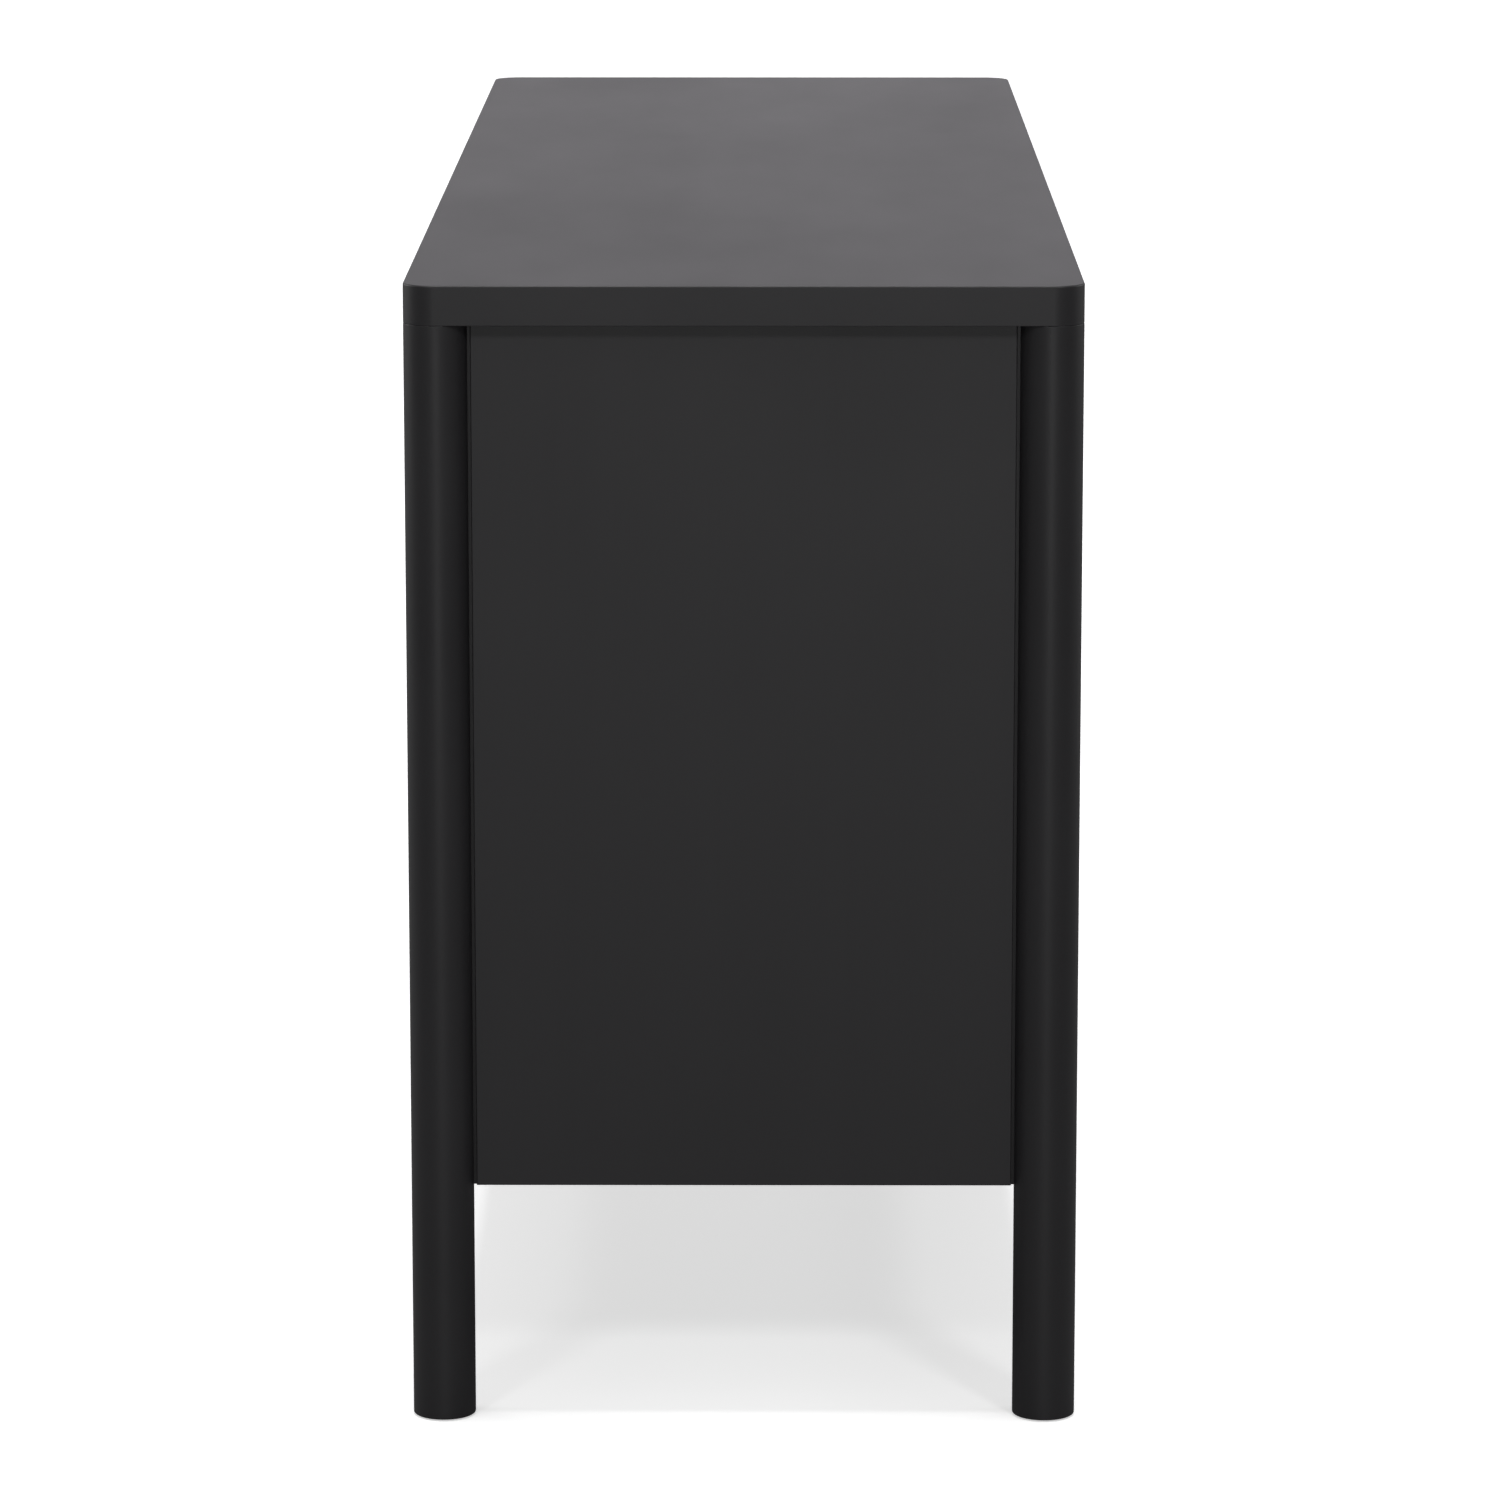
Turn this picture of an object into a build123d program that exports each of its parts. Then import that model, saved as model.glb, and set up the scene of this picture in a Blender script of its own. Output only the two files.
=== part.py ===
from build123d import *
import os

# Chest of six drawers between four round posts, in millimetres.
# +X runs along the length, -Y is the front and +Z is up.
# The origin is on the floor, under the middle of the chest.

# ---------------------------------------------------------------- driving dimensions
length = 1524.0
depth = 457.0
height = 787.0

top_thickness = 27.0
post_radius = 21.5
setback = 16.0            # from the posts' outer line in to every panel and drawer front
case_bottom = 164.0       # clear height under the case
board = 18.0              # side panels, divider and bottom
groove = 10.0             # how far from a post's axis its grooves are cut
back_board = 6.0
shadow_gap = 2.0          # between a post and the face of its side panel
tongue_step = 4.0         # from that face back to the tongue that runs into the post
post_clearance = 0.5      # from the posts' inner lines to the rails, boards and runners between them
panel_gap = 1.0           # between the two back panels

rows = ("top", "middle", "bottom")
columns = {"left": -1, "right": 1}
finger_gap = 16.0         # open height above each drawer front
front_board = 20.0
pull_land = 5.0           # flat left on top of a front before its finger bevel starts
side_gap = 3.0            # between a drawer front and a post, and between two fronts

rail_height = 36.0
rail_thickness = 20.0
back_rail_height = 70.0
tip_hole_radius = 2.5     # holes for a tip-over strap, in the back rail
tip_hole_x = 600.0

box_board = 12.0
box_height = 130.0
box_lift = 22.0           # from a front's lower edge up to its drawer box
box_back = 175.0          # Y of the drawer box's back face
box_bottom = 6.0
box_bottom_lift = 10.0
box_groove = 6.0
front_tails = 4
back_tails = 3
tail_share = 0.55         # a tail's width at its root, as a share of the spacing
tail_slope = 1 / 7

runner_length = 350.0
runner_height = 45.0
runner_width = 12.7
runner_sheet = 1.2
runner_play = 0.5         # between one runner member and the next
runner_room = 2.2         # from the outer member's lips to the drawer box
runner_lip = 3.0          # height of those lips
runner_inset = 2.0        # from the front of the rails back to the runners
runner_lift = 45.0        # from a drawer box's lower edge up to the runner's middle
cleat_height = 50.0

glide_radius = 14.0
glide_pad = 5.0
glide_proud = 1.0         # how far the glides hold the posts off the floor
glide_stem_radius = 4.0
glide_stem = 20.0
socket_room = 1.0         # around a glide's pad and past the end of its stem
dowel_radius = 6.0
dowel_in_post = 22.0
dowel_in_top = 18.0
end_chamfer = 1.0         # on the dowels' ends and the glides' lower edge

bracket_width = 30.0
bracket_leg = 22.0
bracket_sheet = 2.5
bracket_hole = 13.2       # from the corner of a bracket to its screws
bracket_places = (-560.0, -150.0, 150.0, 560.0)
screw_radius = 2.0
screw_length = 14.0
front_screw_length = 26.0
screw_head_radius = 4.0
screw_head = 2.6
front_screw_inset = 60.0  # from a drawer box's outer faces
front_screw_heights = (40.0, 100.0)

edge_ease = 1.2           # rounding on the slab's upper edges and the posts' feet
joint_ease = 0.6          # easing where the slab and the posts meet
front_ease = 1.0          # rounding on the drawer fronts
play = 0.2                # around a drawer bottom in its groove

# ---------------------------------------------------------------- places worked out from them
post_x = length / 2 - post_radius
post_y = depth / 2 - post_radius
under_top = height - top_thickness
side_face = length / 2 - setback
side_inner = side_face - board
front_face = setback - depth / 2
front_back = front_face + front_board
back_face = depth / 2 - setback
back_inner = back_face - back_board
frame_front = post_radius - post_y + post_clearance      # rails and boards start just behind the posts
divider_face = board / 2
pitch = (under_top - case_bottom) / len(rows)
front_height = pitch - finger_gap
cleat_face = post_x - post_radius - post_clearance       # runners pass beside the posts
runner_front = frame_front + runner_inset
runner_back = runner_front + runner_length

parts = {}


# ---------------------------------------------------------------- helpers
def block(x, y, z):
    """Box between two values on each axis, given in either order."""
    low = [min(pair) for pair in (x, y, z)]
    size = [abs(pair[1] - pair[0]) for pair in (x, y, z)]
    return Pos(*low) * Box(*size, align=(Align.MIN, Align.MIN, Align.MIN))


def rod(radius, x, y, z_low, z_high):
    """Upright cylinder."""
    return Pos(x, y, z_low) * Cylinder(radius, z_high - z_low, align=(Align.CENTER, Align.CENTER, Align.MIN))


def rod_along_y(radius, x, z, y_low, y_high):
    """Cylinder that lies along Y."""
    along = Cylinder(radius, y_high - y_low, align=(Align.CENTER, Align.CENTER, Align.MAX))
    return Pos(x, y_low, z) * Rot(90, 0, 0) * along


def prism(points, direction, distance):
    """Solid swept straight from a closed outline of 3D points."""
    return extrude(make_face(Polyline(*points, close=True)), amount=distance, dir=direction)


def row_bottom(row):
    """Height of the lower edge of a row's drawer fronts."""
    return under_top - pitch * (rows.index(row) + 1)


def group(solids):
    """Several separate solids kept together as one node."""
    return Compound(children=list(solids))


# ---------------------------------------------------------------- case
def make_post(side, end):
    """Round post with a glide socket, a dowel hole and grooves for the panels it holds."""
    x, y = side * post_x, end * post_y
    post = rod(post_radius, x, y, glide_proud, under_top)
    post = fillet(post.edges().filter_by(GeomType.CIRCLE).sort_by(Axis.Z)[0], edge_ease)
    post = chamfer(post.edges().filter_by(GeomType.CIRCLE).sort_by(Axis.Z)[-1], joint_ease)
    post -= side_panel_block(side)
    if end > 0:
        post -= back_panel_block(side)
    post -= rod(dowel_radius, x, y, under_top - dowel_in_post, under_top)
    post -= rod(glide_radius + socket_room, x, y, 0, glide_pad + play)
    return post - rod(glide_stem_radius, x, y, glide_pad, glide_pad + glide_stem + socket_room)


def side_panel_block(side):
    """Side panel with a tongue along its front and back edges that sits in the posts' grooves."""
    reach = post_y - groove
    panel = block((side * side_inner, side * side_face), (-reach, reach), (case_bottom, under_top))
    for end in (-1, 1):
        face_end = post_y - post_radius - shadow_gap
        panel -= block((side * (side_face - tongue_step), side * (side_face + 1)),
                       (end * face_end, end * (reach + 1)), (case_bottom - 1, under_top + 1))
    return panel


def back_panel_block(side):
    """Thin back panel for one half of the case, with a hole for a tip-over strap."""
    panel = block((side * panel_gap / 2, side * (post_x - groove)), (back_inner, back_face),
                  (case_bottom, under_top))
    return panel - tip_hole(side)


def tip_hole(side):
    return rod_along_y(tip_hole_radius, side * tip_hole_x, under_top - back_rail_height / 2, 0, depth / 2)


def make_top():
    """Top slab with corners that follow the posts, drilled for its dowels and screws."""
    top = block((-length / 2, length / 2), (-depth / 2, depth / 2), (under_top, height))
    top = fillet(top.edges().filter_by(Axis.Z), post_radius)
    top = fillet(top.faces().sort_by(Axis.Z)[-1].edges(), edge_ease)
    top = fillet(top.faces().sort_by(Axis.Z)[0].edges(), joint_ease)
    for side in (-1, 1):
        for end in (-1, 1):
            top -= rod(dowel_radius, side * post_x, end * post_y, under_top, under_top + dowel_in_top)
    for screw in top_screws():
        top -= screw
    return top


def make_back_rail(side):
    """Rail under the back of the top, with its end shaped round the post."""
    rail = block((side * divider_face, side * side_inner), (back_inner - rail_thickness, back_inner),
                 (under_top - back_rail_height, under_top))
    return rail - rod(post_radius, side * post_x, post_y, 0, under_top) - tip_hole(side)


def make_bottom():
    """Bottom panel, cut away at the back where the posts pass."""
    panel = block((-side_inner, side_inner), (frame_front, back_inner), (case_bottom, case_bottom + board))
    for side in (-1, 1):
        panel -= rod(post_radius, side * post_x, post_y, 0, under_top)
    return panel


def make_front_rail(side, row):
    """Rail that closes the finger gap above one drawer from behind."""
    if row == "top":
        z_high = under_top
    else:
        z_high = row_bottom(row) + pitch + (rail_height - finger_gap) / 2
    return block((side * divider_face, side * side_inner), (frame_front, frame_front + rail_thickness),
                 (z_high - rail_height, z_high))


def make_cleat(side, row):
    """Strip on a side panel that carries a runner clear of the posts."""
    middle = row_bottom(row) + box_lift + runner_lift
    return block((side * cleat_face, side * side_inner), (frame_front, -frame_front),
                 (middle - cleat_height / 2, middle + cleat_height / 2))


def make_glide(side, end):
    """Nylon glide: a pad with a pressed-in stem."""
    x, y = side * post_x, end * post_y
    pad = rod(glide_radius, x, y, 0, glide_pad)
    pad = chamfer(pad.edges().group_by(Axis.Z)[0], end_chamfer)
    return pad + rod(glide_stem_radius, x, y, glide_pad, glide_pad + glide_stem)


def make_dowel(side, end):
    dowel = rod(dowel_radius, side * post_x, end * post_y, under_top - dowel_in_post, under_top + dowel_in_top)
    return chamfer(dowel.edges().filter_by(GeomType.CIRCLE), end_chamfer)


# ---------------------------------------------------------------- fixings of the top
def bracket_lines():
    """Y of the rail face that each line of brackets is screwed to, and the way it faces."""
    return ((frame_front + rail_thickness, 1), (back_inner - rail_thickness, -1))


def make_bracket(x, face, away):
    """Steel angle between a rail and the underside of the top."""
    wide = (x - bracket_width / 2, x + bracket_width / 2)
    upright = block(wide, (face, face + away * bracket_sheet), (under_top - bracket_leg, under_top))
    flat = block(wide, (face, face + away * bracket_leg), (under_top - bracket_sheet, under_top))
    return upright + flat


def make_screw(long=screw_length):
    """Pan-head screw that points up, with the underside of its head at the origin."""
    head = Cylinder(screw_head_radius, screw_head, align=(Align.CENTER, Align.CENTER, Align.MAX))
    head = fillet(head.edges().group_by(Axis.Z)[0], screw_head / 2)
    return head + rod(screw_radius, 0, 0, 0, long)


def top_screws():
    """The screws that go up into the top."""
    places = [(x, face + away * bracket_hole) for face, away in bracket_lines() for x in bracket_places]
    return [Pos(x, y, under_top - bracket_sheet) * make_screw() for x, y in places]


def rail_screws():
    """The screws that go sideways into the rails."""
    middle = under_top - bracket_hole
    return [Pos(x, face + away * bracket_sheet, middle) * Rot(away * 90, 0, 0) * make_screw()
            for face, away in bracket_lines() for x in bracket_places]


# ---------------------------------------------------------------- runners
def runner_section(member):
    """Outline of a runner member, as distance from the wall it hangs on and height from its middle."""
    half, sheet = runner_height / 2, runner_sheet
    lip = runner_width - runner_room
    if member == "outer":
        right = [(lip, half), (lip, half - runner_lip), (lip - sheet, half - runner_lip), (lip - sheet, half - sheet)]
        left = [(sheet, half - sheet)]
        edge = [(0, half)]
    elif member == "middle":
        half -= sheet + runner_play
        near, far = sheet + runner_play, lip - sheet - runner_play
        right = [(far, half), (far, half - sheet)]
        left = [(near + sheet, half - sheet)]
        edge = [(near, half)]
    else:
        half -= 2 * sheet + 3 * runner_play
        near = 2 * sheet + 3 * runner_play
        right = [(near, half), (near, half - sheet)]
        left = [(runner_width - sheet, half - sheet)]
        edge = [(runner_width, half)]
    upper = edge + right + left
    return upper + [(u, -z) for u, z in reversed(upper)]


def make_runner(member, wall, away, middle):
    """Runner member as long as the runner, on a wall at X and facing away from it."""
    outline = [(wall + away * u, runner_front, middle + z) for u, z in runner_section(member)]
    return prism(outline, (0, 1, 0), runner_length)


def runner_pair(member, side, row):
    """The members of both runners of one drawer."""
    middle = row_bottom(row) + box_lift + runner_lift
    return [make_runner(member, side * divider_face, side, middle),
            make_runner(member, side * cleat_face, -side, middle)]


# ---------------------------------------------------------------- drawers
def box_sides(side):
    """X of the drawer box's outer faces: next to the divider, then next to the post."""
    return side * (divider_face + runner_width), side * (cleat_face - runner_width)


def tail_outlines(end, root, z_low, z_high, count):
    """Outlines in Y and Z of a row of dovetails, widest at their end."""
    spacing = (z_high - z_low) / count
    at_root = spacing * tail_share / 2
    at_end = at_root + abs(end - root) * tail_slope
    for k in range(count):
        middle = z_low + spacing * (k + 0.5)
        yield [(root, middle - at_root), (end, middle - at_end), (end, middle + at_end), (root, middle + at_root)]


def make_box_side(outer, inward, z_low):
    """Dovetailed side of a drawer box, without its groove."""
    z_high, z_back = z_low + box_height, z_low + box_bottom_lift + box_bottom
    y_front, y_back = front_back + box_board, box_back - box_board
    span = (outer, outer + inward * box_board)
    made = block(span, (y_front, y_back), (z_low, z_high)) + block(span, (y_back, box_back), (z_low, z_back))
    ends = ((front_back, y_front, z_low, front_tails), (box_back, y_back, z_back, back_tails))
    for end, root, low, count in ends:
        for outline in tail_outlines(end, root, low, z_high, count):
            made += prism([(outer, y, z) for y, z in outline], (inward, 0, 0), box_board)
    return made


def make_drawer_front(side, row):
    """Applied front whose top edge is bevelled behind, as a finger pull."""
    z_low = row_bottom(row)
    z_high = z_low + front_height
    near = side * side_gap / 2
    far = side * (post_x - post_radius - side_gap)
    drop = front_board - pull_land
    outline = [(front_face, z_low), (front_face, z_high), (front_face + pull_land, z_high),
               (front_back, z_high - drop), (front_back, z_low)]
    made = prism([(near, y, z) for y, z in outline], (side, 0, 0), abs(far - near))
    return fillet(made.faces().sort_by(Axis.Y)[0].edges(), front_ease)


def front_screws(side, z_low):
    """The screws that hold an applied front, driven from inside the drawer box."""
    outer = box_sides(side)
    places = [(outer[0] + side * front_screw_inset, z_low + lift) for lift in front_screw_heights]
    places += [(outer[1] - side * front_screw_inset, z_low + lift) for lift in front_screw_heights]
    return [Pos(x, front_back + box_board, z) * Rot(90, 0, 0) * make_screw(front_screw_length) for x, z in places]


def make_drawer(side, row):
    """The separate pieces of one drawer, by name."""
    z_low = row_bottom(row) + box_lift
    z_floor = z_low + box_bottom_lift
    outer = box_sides(side)
    screws = front_screws(side, z_low)
    inner = [outer[0] + side * box_board, outer[1] - side * box_board]
    reach = [inner[0] - side * box_groove, inner[1] + side * box_groove]
    y_groove = front_back + box_board - box_groove
    channel = block(reach, (y_groove, box_back), (z_floor, z_floor + box_bottom))
    sides = [make_box_side(outer[0], side, z_low), make_box_side(outer[1], -side, z_low)]
    box_front = block(outer, (front_back, front_back + box_board), (z_low, z_low + box_height))
    back = block(outer, (box_back - box_board, box_back), (z_floor + box_bottom, z_low + box_height))
    floor = block((reach[0] + side * play, reach[1] - side * play), (y_groove + play, box_back),
                  (z_floor, z_floor + box_bottom))
    return {
        "front": make_drawer_front(side, row) - screws,
        "box_ends": group([box_front - sides[0] - sides[1] - channel - screws, back - sides[0] - sides[1]]),
        "box_sides": group(s - channel for s in sides),
        "box_bottom": floor,
        "front_screws": group(screws),
        "runners": group(runner_pair("inner", side, row)),
        "runner_middles": group(runner_pair("middle", side, row)),
    }


# ---------------------------------------------------------------- all nodes
parts["top_slab"] = make_top()
for end_name, end in (("front", -1), ("back", 1)):
    for side_name, side in columns.items():
        parts[f"post_{end_name}_{side_name}"] = make_post(side, end)
for side_name, side in columns.items():
    parts[f"side_panel_{side_name}"] = side_panel_block(side)
parts["center_divider"] = block((-divider_face, divider_face), (frame_front, back_inner),
                                (case_bottom + board, under_top))
parts["bottom_panel"] = make_bottom()
parts["front_rails"] = group(make_front_rail(side, row) for side in columns.values() for row in rows)
parts["back_rails"] = group(make_back_rail(side) for side in columns.values())
parts["back_panels"] = group(back_panel_block(side) for side in columns.values())
parts["runner_cleats"] = group(make_cleat(side, row) for side in columns.values() for row in rows)
parts["case_runners"] = group(member for side in columns.values() for row in rows
                              for member in runner_pair("outer", side, row))
parts["foot_glides"] = group(make_glide(side, end) for side in (-1, 1) for end in (-1, 1))
parts["post_dowels"] = group(make_dowel(side, end) for side in (-1, 1) for end in (-1, 1))
parts["top_brackets"] = group(
    make_bracket(x, face, away) - top_screws() - rail_screws()
    for face, away in bracket_lines() for x in bracket_places)
parts["bracket_screws"] = group(top_screws() + rail_screws())
for screw in rail_screws():
    for rails in ("front_rails", "back_rails"):
        parts[rails] = group(rail - screw for rail in parts[rails].solids())

for side_name, side in columns.items():
    for row in rows:
        for piece, solid in make_drawer(side, row).items():
            parts[f"drawer_{row}_{side_name}_{piece}"] = solid

os.makedirs("parts", exist_ok=True)
for name, solid in parts.items():
    export_step(solid, f"parts/{name}.step")
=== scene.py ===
# %% [markdown]
# # A black dresser with drawers
# This lesson takes the engineer's model of a long chest of drawers and gives it its looks.
# The chest is real joinery: four round posts, a thick slab on top of them, thin panels held in
# grooves, and six drawers on steel runners. The engineer's model already has every piece at
# its real size, so each visible piece here starts from a box that the model gives.

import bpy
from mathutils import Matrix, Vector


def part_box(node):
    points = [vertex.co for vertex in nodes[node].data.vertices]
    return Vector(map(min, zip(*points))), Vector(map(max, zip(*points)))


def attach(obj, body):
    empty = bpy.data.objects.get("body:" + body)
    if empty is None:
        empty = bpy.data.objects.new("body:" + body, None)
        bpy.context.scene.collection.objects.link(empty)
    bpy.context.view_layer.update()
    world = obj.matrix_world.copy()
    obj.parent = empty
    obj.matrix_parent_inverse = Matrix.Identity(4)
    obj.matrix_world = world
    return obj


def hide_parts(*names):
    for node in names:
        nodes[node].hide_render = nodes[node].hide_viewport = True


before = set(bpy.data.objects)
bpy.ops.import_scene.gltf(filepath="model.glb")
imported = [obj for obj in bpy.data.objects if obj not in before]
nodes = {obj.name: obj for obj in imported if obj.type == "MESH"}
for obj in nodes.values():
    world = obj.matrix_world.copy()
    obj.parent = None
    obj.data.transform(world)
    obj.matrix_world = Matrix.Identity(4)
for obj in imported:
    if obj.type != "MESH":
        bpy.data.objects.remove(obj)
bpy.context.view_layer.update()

# %% Bring in the tools and name the rows
import math

import bpy
from mathutils import Matrix, Vector

ROWS = ("top", "middle", "bottom")
COLUMNS = ("left", "right")
DRAWERS = [f"drawer_{row}_{side}" for row in ROWS for side in COLUMNS]
SIGN = {"left": -1, "right": 1, "front": -1, "back": 1}
MM = 0.001

# %% [markdown]
# ## The camera
# A chest this long looks boxy and calm through a long lens. The camera stands well back from
# one end, above the top and only two fingers' width off the middle, so the two sides of the
# top run back together and the end panel is seen square on.

# %% Place the camera
CAMERA_STANDS_AT = Vector((5.121, 0.021, 1.324))
CAMERA_AIMS_AT = Vector((0.762, 0.0043, 0.472))
LENS_MM = 157.77

camera_data = bpy.data.cameras.new("studio_camera")
camera_data.lens = LENS_MM
camera = bpy.data.objects.new("studio_camera", camera_data)
camera.location = CAMERA_STANDS_AT
camera.rotation_euler = (CAMERA_AIMS_AT - CAMERA_STANDS_AT).to_track_quat("-Z", "Y").to_euler()
bpy.context.scene.collection.objects.link(camera)
bpy.context.scene.camera = camera
print("camera at", tuple(round(v, 3) for v in camera.location))

# %% [markdown]
# ## Nodes by hand, but with less typing
# A material is a small graph of nodes. A few helpers keep the graphs readable. An input of a
# node takes either a value or a link from another node, and the helpers accept both.

# %% Helpers for shader graphs
def feed(tree, node, values):
    """Gives inputs of a node, by name or number, a value or a link."""
    for name, value in values.items():
        if isinstance(value, bpy.types.NodeSocket):
            tree.links.new(value, node.inputs[name])
        else:
            node.inputs[name].default_value = value


def add_node(tree, kind, values=None, **settings):
    """Adds a node with its settings and its inputs."""
    made = tree.nodes.new(kind)
    for name, value in settings.items():
        setattr(made, name, value)
    feed(tree, made, values or {})
    return made


def new_group(name, inputs, outputs):
    """Starts a shader node group, and gives the group with its input and output nodes."""
    group = bpy.data.node_groups.new(name, "ShaderNodeTree")
    for label, kind, value in inputs:
        socket = group.interface.new_socket(label, in_out="INPUT", socket_type=kind)
        if value is not None:
            socket.default_value = value
    for label, kind in outputs:
        group.interface.new_socket(label, in_out="OUTPUT", socket_type=kind)
    return group, group.nodes.new("NodeGroupInput"), group.nodes.new("NodeGroupOutput")


def use_group(tree, group, values):
    """Places a node group in a material with its own values."""
    return add_node(tree, "ShaderNodeGroup", values, node_tree=group)


def new_material(name):
    """Starts a material, and gives its tree, its shader and its object coordinates."""
    material = bpy.data.materials.new(name)
    material.use_nodes = True
    tree = material.node_tree
    shader = tree.nodes["Principled BSDF"]
    place = add_node(tree, "ShaderNodeTexCoord").outputs["Object"]
    return material, tree, shader, place


def mix_colors(tree, factor, first, second):
    """Colour between two colours. The Mix node keeps its colour inputs at 6 and 7."""
    values = {0: factor, 6: first, 7: second}
    return add_node(tree, "ShaderNodeMix", values, data_type="RGBA").outputs[2]


def remap(tree, value, low, high, to_low, to_high):
    """Value stretched from one span to another, and held inside it."""
    values = {"Value": value, "From Min": low, "From Max": high, "To Min": to_low, "To Max": to_high}
    return add_node(tree, "ShaderNodeMapRange", values).outputs["Result"]


def times(tree, first, second):
    """Product of two values."""
    return add_node(tree, "ShaderNodeMath", {0: first, 1: second}, operation="MULTIPLY").outputs["Value"]


def size_of(tree, value):
    """Value without its sign."""
    return add_node(tree, "ShaderNodeMath", {0: value}, operation="ABSOLUTE").outputs["Value"]


def stretch(tree, vector, scale):
    """Coordinates scaled on each axis."""
    return add_node(tree, "ShaderNodeMapping", {"Vector": vector, "Scale": scale}).outputs["Vector"]


print("helpers ready")

# %% [markdown]
# ## Three effects that several finishes share
# ** Edge wear and painted highlight.** Hands and dust cloths polish an edge first, and the lighter
# edge this mask gives is also painted highlight: it stands in for the thin line of light on an eased
# edge. The Bevel node gives the normal that a slightly rounder edge would have, and where it
# differs from the true one there is an edge.
#
# **Wood figure.** Grain is noise that is stretched along the board: broad, slow bands for
# the growth rings, and fine short dashes for the pores.
#
# **Sprayed skin.** A sprayed lacquer is never quite flat: it has tiny hills, like orange peel,
# and large faint clouds where the coat is a little thicker.

# %% Group: edge wear and painted highlight
wear_and_highlight_group, ins, outs = new_group(
    "edge_wear_and_highlight",
    [("Radius", "NodeSocketFloat", 1.5 * MM), ("Patches", "NodeSocketFloat", 35.0)],
    [("Mask", "NodeSocketFloat")])
rounded = add_node(wear_and_highlight_group, "ShaderNodeBevel", {"Radius": ins.outputs["Radius"]}, samples=4)
geometry = add_node(wear_and_highlight_group, "ShaderNodeNewGeometry")
alike = add_node(wear_and_highlight_group, "ShaderNodeVectorMath", operation="DOT_PRODUCT")
feed(wear_and_highlight_group, alike, {0: rounded.outputs["Normal"], 1: geometry.outputs["Normal"]})
edge = remap(wear_and_highlight_group, alike.outputs["Value"], 0.995, 0.80, 0.0, 1.0)
spots = add_node(wear_and_highlight_group, "ShaderNodeTexNoise",
                 {"Vector": add_node(wear_and_highlight_group, "ShaderNodeTexCoord").outputs["Object"],
                  "Scale": ins.outputs["Patches"], "Detail": 4.0})
patchy = remap(wear_and_highlight_group, spots.outputs["Fac"], 0.35, 0.65, 0.25, 1.0)
# The mask marks edges that each finish paints lighter: partly wear, partly painted highlight.
feed(wear_and_highlight_group, outs, {"Mask": times(wear_and_highlight_group, edge, patchy)})
print("edge wear has", len(wear_and_highlight_group.nodes), "nodes")

# %% Group: wood figure
figure_group, ins, outs = new_group(
    "wood_figure",
    [("Vector", "NodeSocketVector", None), ("Bands", "NodeSocketFloat", 9.0),
     ("Pore Scale", "NodeSocketFloat", 420.0)],
    [("Figure", "NodeSocketFloat"), ("Pores", "NodeSocketFloat")])
bands = add_node(figure_group, "ShaderNodeTexNoise",
                 {"Vector": ins.outputs["Vector"], "Scale": ins.outputs["Bands"],
                  "Detail": 7.0, "Roughness": 0.62, "Distortion": 0.9})
dashes = add_node(figure_group, "ShaderNodeTexNoise",
                  {"Vector": ins.outputs["Vector"], "Scale": ins.outputs["Pore Scale"], "Detail": 2.0})
pores = remap(figure_group, dashes.outputs["Fac"], 0.58, 0.70, 0.0, 1.0)
feed(figure_group, outs, {"Figure": bands.outputs["Fac"], "Pores": pores})
print("wood figure has", len(figure_group.nodes), "nodes")

# %% Group: sprayed skin
skin_group, ins, outs = new_group(
    "sprayed_skin",
    [("Vector", "NodeSocketVector", None), ("Peel Scale", "NodeSocketFloat", 520.0)],
    [("Clouds", "NodeSocketFloat"), ("Peel", "NodeSocketFloat")])
slow = stretch(skin_group, ins.outputs["Vector"], (0.35, 1.0, 1.0))
clouds = add_node(skin_group, "ShaderNodeTexNoise",
                  {"Vector": slow, "Scale": 7.0, "Detail": 4.0, "Roughness": 0.5})
peel = add_node(skin_group, "ShaderNodeTexNoise",
                {"Vector": ins.outputs["Vector"], "Scale": ins.outputs["Peel Scale"], "Detail": 1.0})
feed(skin_group, outs, {"Clouds": clouds.outputs["Fac"], "Peel": peel.outputs["Fac"]})
print("sprayed skin has", len(skin_group.nodes), "nodes")

# %% [markdown]
# ## The finishes
# The outside is a satin black lacquer over close-grained wood. It isn't pure black: the
# lacquer is a very dark, slightly violet grey, the pores of the wood still show as faint
# dimples along the grain, and the edges are a shade lighter, partly as wear and partly as
# painted highlight. The grain runs along each board,
# so there is one lacquer for boards that lie along the chest and one for upright pieces.

# %% Satin black lacquer
LONG_GRAIN = 0.035
ALONG = {"x": (LONG_GRAIN, 1.0, 1.0), "y": (1.0, LONG_GRAIN, 1.0), "z": (1.0, 1.0, LONG_GRAIN)}


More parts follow.
